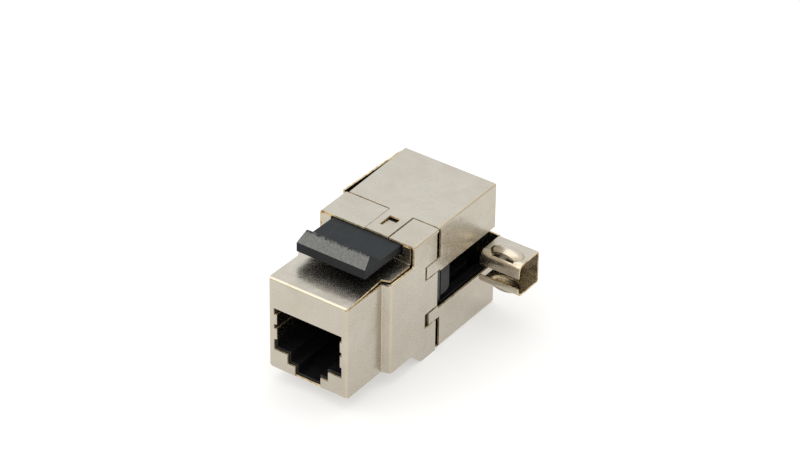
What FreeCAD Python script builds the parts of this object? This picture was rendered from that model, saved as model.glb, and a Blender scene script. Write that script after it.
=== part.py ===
import FreeCAD, Part
import Sketcher
import os
import re
from math import cos, pi, radians, sin

# Shielded keystone jack.  Millimetres.  Axes while modelling: x = 0 on the middle plane,
# y = 0 on the face of the port and growing towards the cable end, z = 0 under the nose.
# Every finished piece carries a Placement that moves it to the part's own origin, the centre of
# the flat underside of the rear cover.

doc = FreeCAD.newDocument("KeystoneJack")
sheet = doc.addObject("Spreadsheet::Sheet", "Sizes")

sizeList = [
    # folded sheet
    ("gauge", 0.3, "sheet thickness"),
    ("bendOut", 0.42, "outside radius of a fold"),
    ("play", 0.1, "gap between a plastic piece and the sheet round it"),
    ("seam", 0.05, "open seam, or slack between two plastic pieces"),
    ("slide", 0.03, "gap under a sheet that slides"),
    ("past", 1.0, "how far a cut runs past the face it opens"),
    # front shell
    ("noseHalf", 7.25, "half width of the nose"),
    ("noseTop", 16.38, "top of the nose at the port face"),
    ("floorRise", 0.17, "rise of the top flap up to the step"),
    ("joggleStart", 8.75, "from the port face to the step in the side panels"),
    ("joggleRun", 0.45, "length of that step"),
    ("midHalf", 8.74, "half width behind the step"),
    ("midTop", 19.73, "top of the middle and of the rear cover"),
    ("midFront", 14.95, "front edge of the raised side panels"),
    ("midRear", 20.85, "rear edge of the side panels"),
    ("lidSetBack", 0.08, "top flaps start behind the raised side panels"),
    ("lidReach", 0.45, "top flaps run on behind the side panels"),
    ("earReach", 0.3, "side panels run on beside the cable slot"),
    ("sideInset", 0.3, "side panels stay below the top flap at the port"),
    ("sideInsetStep", 0.55, "and at the step"),
    ("bellyDrop", 2.4, "how far the rear underside lies below the nose"),
    ("bellyStart", 14.456, "from the port face to that drop"),
    ("bellySlope", 42.0, "slope of the drop in degrees"),
    ("bellyRadius", 1.84, "radius of its two bends"),
    # top flap and riser
    ("flapInset", 0.05, "top flap inside the side panels at the port"),
    ("neckInset", 0.4, "and at the step"),
    ("floorGap", 0.56, "gap at the right of the floor behind the step"),
    ("riserGap", 0.74, "gap at the right of the riser"),
    ("seamLeft", 0.1, "gap at the left of the floor and the riser"),
    ("riserAhead", 0.13, "riser stands before the raised side panels"),
    ("gateSlack", 0.35, "latch gate wider than the latch, each side"),
    ("gateDrop", 0.7, "latch gate below the latch"),
    # port
    ("portHalf", 6.28, "half width of the port"),
    ("portTop", 11.1, "top edge of the port"),
    ("portLow", 3.5, "lower edge of the wide part"),
    ("stepHalf", 3.78, "half width of the first step"),
    ("stepLow", 1.85, "lower edge of the first step"),
    ("keyHalf", 2.38, "half width of the key way"),
    ("rim", 0.35, "how far the plastic rim shows inside the port"),
    ("keyFloor", 0.75, "floor of the key way in the plastic"),
    ("tabFold", 0.48, "shield tabs stand in from the edge of the port"),
    ("tabDeep", 4.0, "depth of a shield tab"),
    ("tabDown", 1.17, "upper shield tab below the top of the port"),
    ("tabTallUpper", 1.75, "height of the upper shield tab"),
    ("tabGap", 0.8, "gap between the two shield tabs"),
    ("tabTallLower", 1.93, "height of the lower shield tab"),
    # tongue, strip and catch
    ("tongueX", 1.645, "middle of the tongue"),
    ("tongueWide", 4.21, "width of the tongue"),
    ("tongueSet", 0.11, "tongue starts behind the front edge of the top flaps"),
    ("tongueGapLeft", 0.09, "gap at the left of the tongue"),
    ("tongueGapRight", 0.3, "gap at the right of the tongue"),
    ("windowWide", 1.98, "width of the window"),
    ("windowSlack", 0.2, "window longer than the catch, each end"),
    ("catchSlack", 0.17, "window wider than the catch, each side"),
    ("stripDrop", 0.63, "lowered strip below the top"),
    ("stripClear", 0.25, "from the latch hinge to the lowered strip"),
    ("stripBack", 0.95, "from the lowered strip to the circuit board"),
    ("catchLead", 0.35, "from the front of the strip to the catch"),
    ("catchLong", 2.4, "length of the catch"),
    ("catchRamp", 0.6, "length of its ramp"),
    # rear cover
    ("coverInset", 0.08, "rear cover narrower than the front shell, each side"),
    ("coverGap", 0.25, "gap between the top flaps and the rear cover"),
    ("flapBack", 0.4, "right flap of the rear cover behind the front of its top plate"),
    ("coverRear", 36.92, "from the port face to the back of the rear cover"),
    ("lidInset", 0.28, "top plate short of the left side at the back"),
    ("lidTaper", 0.3, "and still shorter at the front"),
    ("wallStep", 0.22, "left wall stands outside the top plate at the back"),
    ("wallSpread", 0.65, "left wall sprung outwards at the front"),
    ("wallEdge", 0.1, "left wall lower than the top plate"),
    ("slotLow", 5.0, "lower edge of the cable slot"),
    ("slotHigh", 11.8, "upper edge of the cable slot"),
    ("hookLift", 0.3, "upper hook above the cable slot"),
    ("hookTallUpper", 2.15, "height of the upper hook"),
    ("hookLongUpper", 3.1, "length of the upper hook"),
    ("hookOver", 0.4, "lower hook stands above the lower edge of the slot"),
    ("hookTallLower", 2.1, "height of the lower hook"),
    ("hookLongLower", 2.4, "length of the lower hook"),
    ("notchUnder", 0.1, "notch below a hook"),
    ("notchOverUpper", 0.3, "notch above the upper hook"),
    ("notchOverLower", 0.45, "notch above the lower hook"),
    ("notchAheadUpper", 0.55, "notch before the upper hook"),
    ("notchAheadLower", 1.2, "notch before the lower hook"),
    # cable tie arm
    ("armLong", 7.2, "length of the arm's wings"),
    ("armLow", 4.7, "underside of the arm"),
    ("armTall", 5.75, "height of the arm"),
    ("wingGap", 0.84, "from the rear cover to the two wings"),
    ("reliefWide", 1.1, "corner relief beside the root of the arm"),
    ("upperWing", 5.52, "depth of the upper wing"),
    ("upperLipTall", 2.35, "height of the upper lip"),
    ("upperLipBend", 1.4, "bend of the upper lip"),
    ("lowerWing", 5.72, "depth of the lower wing"),
    ("lowerLipTall", 1.6, "height of the lower lip"),
    ("lowerLipBend", 1.2, "bend of the lower lip"),
    ("hoodIn", 3.5, "middle of a hood from the end of the arm"),
    ("hoodBack", 4.7, "mouth of a hood from the back of the rear cover"),
    ("hoodSet", 1.25, "middle of a hood behind its mouth"),
    ("hoodRise", 1.0, "height of a hood"),
    ("hoodHalf", 3.0, "half width of a hood"),
    ("hoodDeep", 1.8, "depth of a hood behind its middle"),
    ("slitLong", 0.27, "slit before the mouth of a hood"),
    ("slitHalf", 2.0, "half width of that slit"),
    # latch
    ("latchHalf", 6.3, "half width of the latch"),
    ("latchThick", 1.2, "thickness of the latch plate"),
    ("latchSlack", 0.13, "latch below the top flaps"),
    ("hingeBehind", 0.98, "hinge line behind the front of its cradle"),
    ("latchReach", 10.45, "hinge line to the front face of the latch"),
    ("tipTall", 1.6, "height of the front face"),
    ("tipLift", 0.1, "underside rises to the front by this much"),
    ("ridgeBehind", 1.95, "crest behind the front face"),
    ("ridgeRise", 2.5, "crest above the hinge line"),
    ("crestFlat", 1.3, "length of the top of the crest"),
    ("crestDrop", 1.0, "drop of the top of the crest"),
    ("crestFoot", 0.6, "foot of the crest behind its top"),
    ("plateRise", 0.78, "plate above the hinge line at that foot"),
    ("crestTrim", 0.5, "bevel at each end of the crest"),
    # port housing
    ("boxShort", 0.55, "housing ends inside the side panels"),
    ("latchRoom", 0.25, "cradle below the latch"),
    ("cheekTop", 0.6, "hinge cheeks below the top"),
    ("deckGap", 0.2, "housing below the lowered strip"),
    ("cavityDeep", 11.95, "depth of the plug cavity"),
    ("neckSet", 0.25, "housing starts to widen this far behind the sheet"),
    # contact carrier
    ("carrierEdge", 1.144, "carrier wider than the outer wires, each side"),
    ("shelfLift", 0.35, "shelf above the top of the port"),
    ("shelfThick", 1.4, "thickness of the shelf"),
    ("ribTall", 0.6, "height of the ribs between the wires"),
    ("ribStart", 1.5, "ribs start behind the front bend"),
    ("carrierTall", 7.45, "height of the rear block"),
    ("combFoot", 0.5, "comb slots start above the underside"),
    ("combWide", 0.56, "width of a comb slot or groove"),
    ("combDeep", 1.2, "depth of a comb slot"),
    # contact springs
    ("wireWide", 0.46, "diameter of a contact wire"),
    ("wirePitch", 1.016, "spacing of the contact wires"),
    ("wireRest", 0.02, "gap between a wire and the shelf"),
    ("bendY", 3.9, "from the port face to the middle of the front bend"),
    ("bendTurn", 156.0, "turn of the front bend in degrees"),
    ("tipIn", 0.4, "free end of a wire inside its comb slot"),
    # circuit board
    ("boardGap", 1.1, "from the housing to the board"),
    ("boardThick", 1.6, "thickness of the board"),
    ("boardSide", 0.44, "board narrower than the housing, each side"),
    ("boardFoot", 0.5, "board above the bottom flap"),
    ("boardHead", 0.25, "board below the lowered strip"),
    ("wireHole", 0.75, "hole for a contact wire"),
    ("tailHole", 0.9, "hole for a terminal tail"),
    # terminal blocks
    ("blockSide", 0.36, "from a terminal block to the side of the rear cover"),
    ("blockGap", 0.1, "from the board to the terminal blocks"),
    ("baseThick", 2.3, "thickness of a base plate"),
    ("towerGap", 1.42, "from the towers to the back of the rear cover"),
    ("upperTall", 7.15, "height of the upper towers"),
    ("lowerTall", 7.15, "height of the lower towers"),
    ("blockSlack", 0.28, "from the upper block to the top plate"),
    ("blockFoot", 0.15, "from the lower block to the bottom plate"),
    ("upperBase", 12.9, "height of the upper base plate"),
    ("plugRound", 1.0, "round lower corner of the upper base plate"),
    ("gullet", 1.3, "width of a wire slot"),
    ("gulletMouth", 2.4, "width of its mouth"),
    ("gulletFlare", 1.2, "length of its mouth"),
    ("gulletPitch", 3.9, "spacing of the wire slots"),
    ("gulletDeep", 9.2, "depth of a wire slot"),
    # terminals
    ("bladeWide", 3.0, "width of a terminal blade"),
    ("bladeThick", 0.4, "thickness of a terminal blade"),
    ("bladeSeat", 0.3, "blade starts behind the base plate"),
    ("bladeIn", 1.7, "blade ends inside its tower"),
    ("forkDeep", 5.5, "depth of the fork slit"),
    ("forkSlit", 0.3, "width of the fork slit"),
    ("forkMouth", 1.0, "width of the fork mouth"),
    ("forkFlare", 1.6, "length of the fork mouth"),
    ("tailWide", 0.6, "width of a tail"),
    ("tailOut", 0.15, "tail stands out of the board"),
    ("bladeSlack", 0.1, "slack round a terminal blade"),
]

for row, (name, value, note) in enumerate(sizeList, 1):
    sheet.set(f"A{row}", note)
    sheet.set(f"B{row}", str(value))
    sheet.setAlias(f"B{row}", name)
doc.recompute()
sizeNames = {name for name, value, note in sizeList}

# Places that follow from the sizes
floorTop = "(noseTop + floorRise)"
joggleEnd = "(joggleStart + joggleRun)"
lidFront = "(midFront + lidSetBack)"
lidRear = "(midRear + lidReach)"
riserFront = "(midFront - riserAhead)"
boxFront = f"({riserFront} + gauge + play)"
boxHalf = "(midHalf - gauge - play)"
boxTop = "(noseTop - gauge - play)"
boxRear = "(midRear - boxShort)"
bellyEnd = "(bellyStart + bellyDrop / tan(bellySlope * 1 deg))"
halfSlope = "tan(bellySlope * 0.5 deg)"
coverHalf = "(midHalf - coverInset)"
coverFront = f"({lidRear} + coverGap)"
lidLeft = f"({coverHalf} - lidInset)"
wallBack = f"({lidLeft} + wallStep)"
wallFront = f"({wallBack} + wallSpread)"
tongueLeft = "(tongueX - 0.5 * tongueWide)"
tongueRight = "(tongueX + 0.5 * tongueWide)"
stripTop = "(midTop - stripDrop)"
latchZ = "(midTop - gauge - latchSlack - 0.5 * latchThick)"
latchY = f"({boxFront} + hingeBehind)"
hingeRear = f"({latchY} + 0.5 * latchThick)"
tipFront = f"({latchY} - latchReach)"
tipLow = f"({latchZ} - 0.5 * latchThick + tipLift)"
ridgeY = f"({tipFront} + ridgeBehind)"
ridgeZ = f"({latchZ} + ridgeRise)"
cradleLow = f"({latchZ} - 0.5 * latchThick - latchRoom)"
stripFront = f"({hingeRear} + stripClear)"
catchFront = f"({stripFront} + catchLead)"
catchRear = f"({catchFront} + catchLong)"
tabUpper = ("portTop - tabDown - tabTallUpper", "portTop - tabDown")
tabLower = ("portTop - tabDown - tabTallUpper - tabGap - tabTallLower",
            "portTop - tabDown - tabTallUpper - tabGap")
hookUpper = ("slotHigh + hookLift", "slotHigh + hookLift + hookTallUpper")
hookLower = ("slotLow + hookOver - hookTallLower", "slotLow + hookOver")
armHigh = "(armLow + armTall)"
wingStart = f"({coverHalf} + wingGap)"
upperLip = "(coverRear - upperWing)"
lowerLip = "(coverRear - lowerWing)"
armEnd = f"({wingStart} + armLong)"
hoodX = f"({armEnd} - hoodIn)"
hoodY = "(coverRear - hoodBack)"
hoodMiddle = f"({hoodY} + hoodSet)"
shelfLow = "(portTop + shelfLift)"
shelfHigh = f"({shelfLow} + shelfThick)"
ribHigh = f"({shelfHigh} + ribTall)"
bendR = "(0.5 * shelfThick + wireRest + 0.5 * wireWide)"
wireTop = f"({shelfHigh} + wireRest + 0.5 * wireWide)"
shelfFront = f"(bendY - 0.5 * shelfThick)"
carrierHalf = "(3.5 * wirePitch + carrierEdge)"
carrierFront = "(cavityDeep + seam)"
carrierLow = f"({ribHigh} - carrierTall)"
boardFront = f"({boxRear} + boardGap)"
boardHalf = f"({boxHalf} - boardSide)"
boardRear = f"({boardFront} + boardThick)"
blockFront = f"({boardRear} + blockGap)"
blockHalf = f"({coverHalf} - gauge - blockSide)"
towerFront = f"({blockFront} + baseThick)"
towerRear = "(coverRear - gauge - towerGap)"
upperHigh = "(midTop - gauge - blockSlack)"
lowerLow = "(gauge - bellyDrop + blockFoot)"
upperMiddle = f"({upperHigh} - 0.5 * upperTall)"
lowerMiddle = f"({lowerLow} + 0.5 * lowerTall)"
bladeFront = f"({towerFront} + bladeSeat)"
bladeRear = f"({towerRear} - bladeIn)"


def link(text):
    """Point every size named in the text at the sheet."""
    return re.sub(r"[A-Za-z]\w*",
                  lambda m: f"Sizes.{m.group(0)}" if m.group(0) in sizeNames else m.group(0), text)


def bind(item, field, text):
    item.setExpression(field, link(text))


probe = doc.addObject("App::FeaturePython", "Probe")
probe.addProperty("App::PropertyFloat", "reading")


def measure(text):
    """The present value of a size expression."""
    bind(probe, "reading", text)
    probe.recompute()
    return probe.reading


def originPlane(body, role):
    for feature in body.Origin.OriginFeatures:
        if feature.Role == role:
            return feature


def newBody(name):
    return doc.addObject("PartDesign::Body", name)


def setBox(box, x, y, z):
    """Tie a box to three (low, high) pairs of size expressions."""
    for field, axis, (low, high) in (("Length", "x", x), ("Width", "y", y), ("Height", "z", z)):
        bind(box, field, f"({high}) - ({low})")
        bind(box, f"Placement.Base.{axis}", low)
    return box


def bodyBox(body, name, x, y, z, cut=False):
    kind = "PartDesign::SubtractiveBox" if cut else "PartDesign::AdditiveBox"
    return setBox(body.newObject(kind, name), x, y, z)


def block(name, x, y, z):
    """A free box that joins or cuts folded sheets."""
    return setBox(doc.addObject("Part::Box", name), x, y, z)


def outline(body, name, axis, points, level):
    """A closed outline square to the axis, every corner tied to the sheet."""
    role = {"x": "YZ_Plane", "y": "XZ_Plane", "z": "XY_Plane"}[axis]
    sketch = body.newObject("Sketcher::SketchObject", name)
    sketch.AttachmentSupport = [(originPlane(body, role), "")]
    sketch.MapMode = "FlatFace"
    bind(sketch, "AttachmentOffset.Base.z", level)
    corners = [FreeCAD.Vector(measure(across), measure(up), 0) for across, up in points]
    count = len(corners)
    for i in range(count):
        sketch.addGeometry(Part.LineSegment(corners[i], corners[(i + 1) % count]))
    for i in range(count):
        sketch.addConstraint(Sketcher.Constraint("Coincident", i, 2, (i + 1) % count, 1))
    for i, (across, up) in enumerate(points):
        for kind, text, start in (("DistanceX", across, corners[i].x), ("DistanceY", up, corners[i].y)):
            index = sketch.addConstraint(Sketcher.Constraint(kind, -1, 1, i, 1, start))
            sketch.renameConstraint(index, f"{kind}{i}")
            bind(sketch, f"Constraints.{kind}{i}", text)
    return sketch


def slab(body, name, axis, points, low, high, cut=False):
    """Pad or pocket an outline along an axis, from low to high."""
    level = f"-({high})" if axis == "y" else low
    feature = body.newObject("PartDesign::Pocket" if cut else "PartDesign::Pad", name)
    feature.Profile = outline(body, f"{name}Outline", axis, points, level)
    bind(feature, "Length", f"({high}) - ({low})")
    feature.Reversed = cut
    body.Tip = feature
    return feature


def mirrored(points):
    """A half outline, listed from front to back, on both sides of x = 0."""
    return points + [(f"-({across})", up) for across, up in reversed(points)]


def bothSides(across, along):
    return [(across, along), (f"-({across})", along)]


def roundOff(body, name, axis, spots, radius):
    """Round the straight edges along an axis that pass through the spots."""
    doc.recompute()
    base = body.Tip
    rest = [i for i in range(3) if i != "xyz".index(axis)]
    places = [[measure(text) for text in spot] for spot in spots]
    names = []
    for number, edge in enumerate(base.Shape.Edges, 1):
        ends = [edge.firstVertex().Point, edge.lastVertex().Point]
        for place in places:
            if all(abs(end[i] - place[k]) < 0.01 for end in ends for k, i in enumerate(rest)):
                names.append(f"Edge{number}")
    fillet = body.newObject("PartDesign::Fillet", name)
    fillet.Base = (base, names)
    bind(fillet, "Radius", radius)
    return fillet


def join(name, pieces):
    fused = doc.addObject("Part::MultiFuse", name)
    fused.Shapes = pieces
    return fused


def combine(kind, name, base, tool):
    result = doc.addObject(f"Part::{kind}", name)
    result.Base = base
    result.Tool = tool
    return result


def repeat(body, name, feature, length, count):
    """Repeat a feature along x."""
    row = body.newObject("PartDesign::LinearPattern", name)
    row.Originals = [feature]
    row.Direction = (originPlane(body, "X_Axis"), [""])
    bind(row, "Length", length)
    row.Occurrences = count
    body.Tip = row
    return row


finished = []


def finish(item, label, x="0", z="0"):
    """Name a finished piece and move it to the part's own origin."""
    item.Label = label
    bind(item, "Placement.Base.x", x)
    bind(item, "Placement.Base.y", f"-({coverFront} + coverRear) / 2")
    bind(item, "Placement.Base.z", f"bellyDrop + {z}")
    finished.append((label, item))


# Front shell: the skin, an outer solid less an inner one, makes the front and side panels and the
# two top flaps; the saddle is the top flap and riser, the belly is the bottom flap.

def skinSolid(name, inset, low, high, rear, outside, inside):
    """Plan of the front shell, moved inwards by the sheet thickness for the hollow."""
    body = newBody(name)
    slope = "(joggleRun / (midHalf - noseHalf))"
    shift = f"{inset} * (sqrt(1 + {slope} * {slope}) - {slope})"
    corners = [(f"noseHalf - {inset}", inset), (f"noseHalf - {inset}", f"joggleStart + {shift}"),
               (f"midHalf - {inset}", f"{joggleEnd} + {shift}"), (f"midHalf - {inset}", rear)]
    slab(body, f"{name}Plan", "z", mirrored(corners), low, high)
    roundOff(body, f"{name}Folds", "z", bothSides(*corners[0]) + bothSides(*corners[2]), outside)
    roundOff(body, f"{name}InsideBends", "z", bothSides(*corners[1]), inside)
    roundOff(body, f"{name}TopFolds", "y", bothSides(f"midHalf - {inset}", high), outside)
    return body


def skinView():
    """Side view that the skin is trimmed to."""
    body = newBody("skinView")
    slab(body, "skinViewPad", "x",
         [("-past", "bendOut"), ("0", "bendOut"), ("bendOut", "0"), ("bellyStart", "0"),
          (bellyEnd, "-bellyDrop"),
          ("midRear", "-bellyDrop"), ("midRear", f"{hookLower[1]} + notchOverLower"),
          ("midRear + earReach", f"{hookLower[1]} + notchOverLower"),
          ("midRear + earReach", f"{hookUpper[0]} - notchUnder"),
          ("midRear", f"{hookUpper[0]} - notchUnder"), ("midRear", "midTop - bendOut - gauge"),
          (lidRear, "midTop - bendOut"), (lidRear, "midTop + past"), ("midFront", "midTop + past"),
          ("midFront", f"{floorTop} - bendOut"), (f"{joggleEnd} + gauge", f"{floorTop} - sideInset"),
          ("joggleStart + gauge", "noseTop - sideInsetStep"), ("bendOut", "noseTop - sideInset"),
          ("0", "noseTop - bendOut"), ("-past", "noseTop - bendOut")],
         "-midHalf - past", "midHalf + past")
    roundOff(body, "bellyBends", "x", [("bellyStart", "0"), (bellyEnd, "-bellyDrop")], "bellyRadius")
    roundOff(body, "shoulder", "x", [("midFront", f"{floorTop} - bendOut")], "bendOut")
    return body


def saddle():
    """Top flap folded back from the front panel, up to the top of the riser."""
    body = newBody("saddle")
    top = "midTop - gauge - slide"
    slab(body, "saddleProfile", "x",
         [("0", "portTop + past"), ("0", "noseTop"), (joggleEnd, floorTop), (riserFront, floorTop),
          (riserFront, top),
          (f"{riserFront} + gauge", top), (f"{riserFront} + gauge", f"{floorTop} - gauge"),
          (joggleEnd, f"{floorTop} - gauge"), ("gauge", "noseTop - gauge"), ("gauge", "portTop + past")],
         "-midHalf", "midHalf")
    roundOff(body, "saddleOutside", "x", [("0", "noseTop"),
                                          (f"{riserFront} + gauge", f"{floorTop} - gauge")],
             "bendOut")
    roundOff(body, "saddleInside", "x", [("gauge", "noseTop - gauge"), (riserFront, floorTop)],
             "bendOut - gauge")
    plan = newBody("saddlePlan")
    left = "-(midHalf - gauge - seamLeft)"
    right = "midHalf - floorGap"
    slab(plan, "saddlePlanPad", "z",
         [("noseHalf - bendOut", "-past"), ("noseHalf - bendOut", "0"),
          ("noseHalf - flapInset", "bendOut"), ("noseHalf - neckInset", joggleEnd),
          (right, f"{joggleEnd} + bendOut"), (right, f"{riserFront} - bendOut"),
          ("midHalf - riserGap", riserFront), ("midHalf - riserGap", "midRear"),
          (left, "midRear"), (left, f"{joggleEnd} + 2 * bendOut"),
          ("neckInset - noseHalf", joggleEnd), ("flapInset - noseHalf", "bendOut"),
          ("bendOut - noseHalf", "0"), ("bendOut - noseHalf", "-past")],
         "portTop", "midTop")
    return combine("Common", "saddleTrimmed", body, plan)


def belly():
    """Bottom flap folded back from the front panel, with its S-shaped drop."""
    body = newBody("belly")
    slab(body, "bellyProfile", "x",
         [("0", "2 * bendOut"), ("0", "0"), ("bellyStart", "0"), (bellyEnd, "-bellyDrop"),
          ("midRear", "-bellyDrop"),
          ("midRear", "gauge - bellyDrop"), (f"{bellyEnd} + gauge * {halfSlope}", "gauge - bellyDrop"),
          (f"bellyStart + gauge * {halfSlope}", "gauge"), ("gauge", "gauge"), ("gauge", "2 * bendOut")],
         "-midHalf", "midHalf")
    roundOff(body, "bellyFold", "x", [("0", "0")], "bendOut")
    roundOff(body, "bellyFoldInside", "x", [("gauge", "gauge")], "bendOut - gauge")
    roundOff(body, "bellyUnder", "x", [("bellyStart", "0"), (bellyEnd, "-bellyDrop")], "bellyRadius")
    roundOff(body, "bellyCrest", "x", [(f"bellyStart + gauge * {halfSlope}", "gauge")],
             "bellyRadius + gauge")
    roundOff(body, "bellyTrough", "x", [(f"{bellyEnd} + gauge * {halfSlope}", "gauge - bellyDrop")],
             "bellyRadius - gauge")
    plan = newBody("bellyPlan")
    slab(plan, "bellyPlanPad", "z",
         mirrored([("noseHalf - bendOut", "-past"), ("noseHalf - bendOut", "joggleStart"),
                   (boxHalf, f"{joggleEnd} + bendOut"), (boxHalf, "midRear + past")]),
         "-bellyDrop - past", "noseTop")
    return combine("Common", "bellyTrimmed", body, plan)


def shieldTab(name, sign, level):
    """Tab folded inwards from the side edge of the port."""
    body = newBody(name)
    inside = f"{sign} * (portHalf - tabFold)"
    outside = f"{sign} * (portHalf - tabFold + gauge)"
    root = f"{sign} * (portHalf + gauge)"
    slab(body, f"{name}Plan", "z",
         [(root, "0"), (inside, "0"), (inside, "tabDeep"), (outside, "tabDeep"), (outside, "gauge"),
          (root, "gauge")],
         *level)
    roundOff(body, f"{name}Bend", "z", [(inside, "0")], "bendOut - 0.5 * gauge")
    return body


def portShape(inset, top, foot):
    """Stepped outline of the port, for the sheet and, inset, for the housing."""
    return mirrored([(f"portHalf - {inset}", top), (f"portHalf - {inset}", f"portLow + {inset}"),
                     (f"stepHalf - {inset}", f"portLow + {inset}"),
                     (f"stepHalf - {inset}", f"stepLow + {inset}"),
                     (f"keyHalf - {inset}", f"stepLow + {inset}"), (f"keyHalf - {inset}", foot)])


def loweredStrip():
    """Strip that joins the left top flap and carries the catch for the rear cover."""
    left = f"{tongueLeft} - tongueGapLeft"
    length = (stripFront, f"{boardFront} - stripBack")
    plate = join("stripBands", [
        block("stripPlate", (f"{left} - gauge", tongueRight), length, (f"{stripTop} - gauge", stripTop)),
        block("stripWeb", (f"{left} - gauge", left), length,
              (f"{stripTop} - gauge", "midTop - 0.5 * gauge"))])
    half = "(0.5 * windowWide - catchSlack)"
    hole = block("catchHole", (f"tongueX - {half} - seam", f"tongueX + {half} + seam"),
                 (f"{catchFront} - play", catchRear), (f"{stripTop} - past", "midTop"))
    catch = newBody("catch")
    top = "midTop - gauge - slide"
    under = f"{stripTop} - gauge"
    slab(catch, "catchProfile", "x",
         [(catchFront, f"{top} - gauge"), (catchFront, top), (f"{catchRear} - catchRamp", top),
          (catchRear, stripTop), (f"{catchRear} + play", stripTop),
          (f"{catchRear} + play", under), (catchRear, under),
          (f"{catchRear} - catchRamp", f"{top} - gauge")],
         f"tongueX - {half}", f"tongueX + {half}")
    return join("strip", [combine("Cut", "stripCut", plate, hole), catch])


def frontShell():
    skin = combine("Cut", "skin", skinSolid("skinOuter", "0", "-bellyDrop", "midTop", lidRear, "bendOut",
                                            "bendOut - gauge"),
                   skinSolid("skinInner", "gauge", "-bellyDrop - past", "midTop - gauge", "coverRear",
                             "bendOut - gauge", "bendOut"))
    bands = join("frontBands", [combine("Common", "skinTrimmed", skin, skinView()), saddle(), belly()])
    port = newBody("portCut")
    slab(port, "portCutPad", "y", portShape("0", "portTop", "-past"), "-past", "bendOut - play")
    gateHalf = "(latchHalf + gateSlack)"
    across = ("-midHalf - past", "midHalf + past")
    lid = ("midTop - gauge", "midTop + past")
    cuts = join("frontCuts", [
        port,
        block("latchGate", (f"-{gateHalf}", gateHalf),
              (f"{riserFront} - past", f"{riserFront} + gauge + past"),
              (f"{latchZ} - 0.5 * latchThick - gateDrop", "midTop - gauge")),
        block("lidTrim", across, ("midFront - past", lidFront), lid),
        block("tongueBay", (f"{tongueLeft} - tongueGapLeft", f"{tongueRight} + tongueGapRight"),
              ("midFront - past", f"{lidRear} + past"), lid),
        block("notchUpper", across, (f"{coverFront} - hookLongUpper - notchAheadUpper", coverFront),
              (f"{hookUpper[0]} - notchUnder", f"{hookUpper[1]} + notchOverUpper")),
        block("notchLower", across, (f"{coverFront} - hookLongLower - notchAheadLower", coverFront),
              (f"{hookLower[0]} - notchUnder", f"{hookLower[1]} + notchOverLower"))])
    tabs = [shieldTab(f"shieldTab{level}{side}", sign, heights)
            for side, sign in (("Left", -1), ("Right", 1))
            for level, heights in (("Upper", tabUpper), ("Lower", tabLower))]
    return join("frontShell", [combine("Cut", "frontSheet", bands, cuts), loweredStrip()] + tabs)


# Rear cover: top plate, right flap, bottom plate and back panel as one skin, then the sprung left
# wall, the hooks, the tongue and the arm.

def coverSkin():
    def hull(name, inset, left, front, radius):
        body = newBody(name)
        right = f"{coverHalf} - {inset}"
        rear = f"coverRear - {inset}"
        low = f"{inset} - bellyDrop"
        high = f"midTop - {inset}"
        bodyBox(body, f"{name}Box", (left, right), (front, rear), (low, high))
        roundOff(body, f"{name}SideFolds", "y", [(right, high), (right, low)], radius)
        roundOff(body, f"{name}RearFolds", "x", [(rear, high), (rear, low)], radius)
        return body

    skin = combine("Cut", "coverHull", hull("coverOuter", "0", f"-{lidLeft}", coverFront, "bendOut"),
                   hull("coverInner", "gauge", f"-{lidLeft} - past", f"{coverFront} - past",
                        "bendOut - gauge"))
    taper = newBody("lidTaper")
    slab(taper, "lidTaperPlan", "z",
         [(f"lidTaper - {lidLeft}", f"{coverFront} - seam"), (f"-{lidLeft}", "coverRear - 3 * bendOut"),
          (f"-{lidLeft} - past", "coverRear - 3 * bendOut"),
          (f"-{lidLeft} - past", f"{coverFront} - seam")],
         "midTop - bendOut", "midTop + past")
    cuts = join("coverSkinCuts", [
        taper,
        block("flapTrim", (f"{coverHalf} - gauge - seam", f"{coverHalf} + past"),
              (f"{coverFront} - past", f"{coverFront} + flapBack"),
              ("gauge - bellyDrop", "midTop - gauge")),
        block("cableSlot", (f"{coverHalf} - past", f"{coverHalf} + past"),
              (f"{coverFront} - past", "coverRear - gauge"),
              ("slotLow", "slotHigh")),
        block("cornerSeam", (f"{coverHalf} - gauge - seam", f"{coverHalf} + past"),
              ("coverRear - gauge - seam", "coverRear - gauge"),
              ("bendOut - bellyDrop", "midTop - bendOut")),
        block("cornerRelief", (f"-{lidLeft} - past", f"bendOut - {lidLeft}"),
              ("coverRear - bendOut - seam", "coverRear + past"),
              ("bendOut - bellyDrop - play", "midTop - bendOut + play"))])
    return combine("Cut", "coverSkin", skin, cuts)


def leftWall():
    """Wall on its fold at the back, sprung outwards at the front."""
    lean = f"(wallSpread / (coverRear - {coverFront}))"
    fold = newBody("leftWallFold")
    slab(fold, "leftWallFoldPlan", "z",
         [(f"2 * bendOut - {lidLeft}", "coverRear"), (f"-{wallBack}", "coverRear"),
          (f"-{wallFront}", coverFront),
          (f"gauge - {wallFront}", coverFront), (f"gauge - {wallBack} - gauge * {lean}",
                                                 "coverRear - gauge"),
          (f"2 * bendOut - {lidLeft}", "coverRear - gauge")],
         "bendOut - bellyDrop", "midTop - bendOut")
    roundOff(fold, "leftWallBend", "z", [(f"-{wallBack}", "coverRear")], "bendOut")
    edge = newBody("leftWallEdge")
    back = "coverRear - 3 * bendOut"
    backX = f"(-{wallBack} - 3 * bendOut * {lean})"
    slab(edge, "leftWallEdgePlan", "z",
         [(backX, back), (f"-{wallFront}", coverFront), (f"gauge - {wallFront}", coverFront),
          (f"{backX} + gauge", back)],
         "wallEdge - bellyDrop", "midTop - wallEdge")
    return [fold, edge]


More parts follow.
